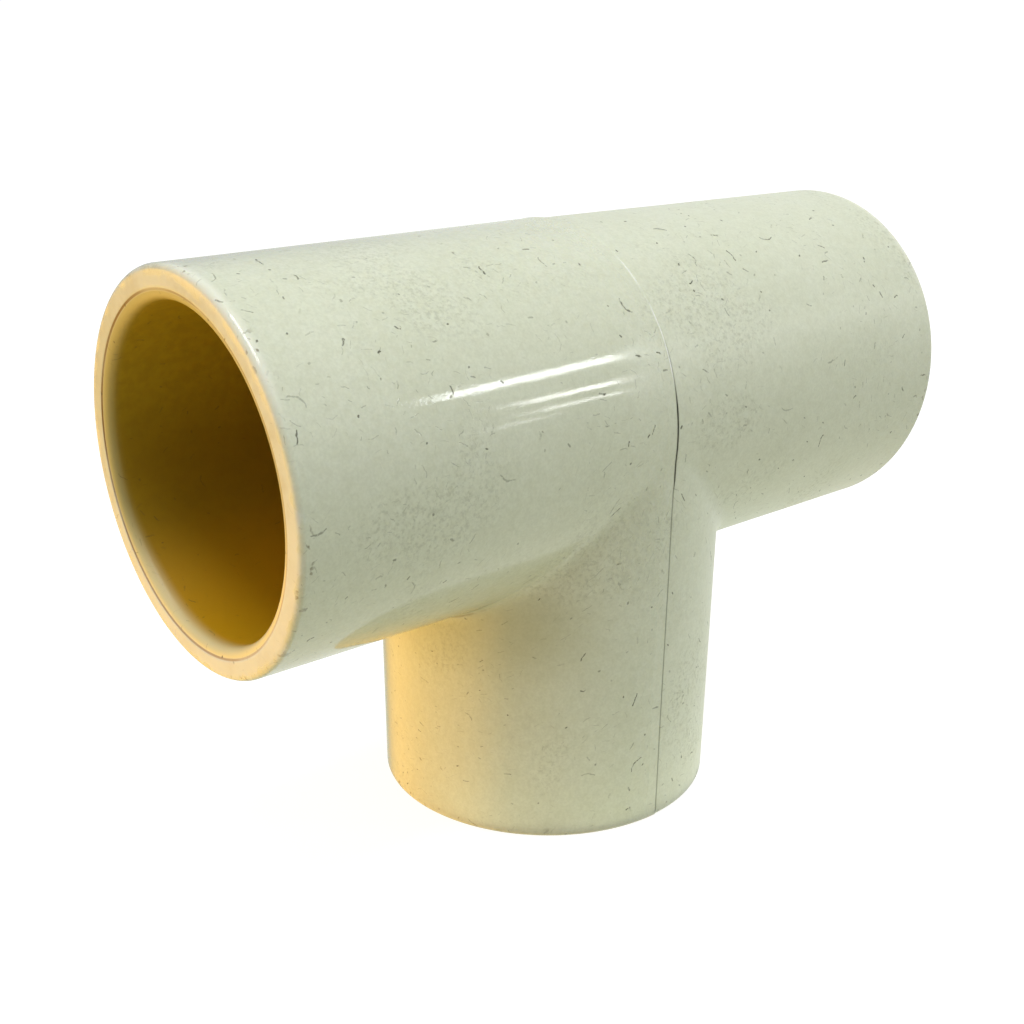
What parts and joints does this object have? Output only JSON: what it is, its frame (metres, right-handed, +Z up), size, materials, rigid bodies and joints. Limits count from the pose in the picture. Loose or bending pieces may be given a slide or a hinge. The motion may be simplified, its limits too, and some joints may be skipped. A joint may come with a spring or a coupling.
{
  "type": "pipe tee",
  "caption": "Equal socket tee that joins two runs of pipe and a branch at right angles with solvent cement.",
  "frame": {"origin": "centre of the branch's end face, on the surface that the tee stands on", "axes": "+X along the run, +Z up from the branch's end face to the run, -Y to the front"},
  "size_m": [0.0622, 0.0274, 0.0448],
  "materials": {
    "shell": "aged cream pipe-grade vinyl, glossy but lightly scuffed"
  },
  "bodies": {
    "root": {"left_half_shell": "shell", "right_half_shell": "shell"}
  },
  "joints": []
}
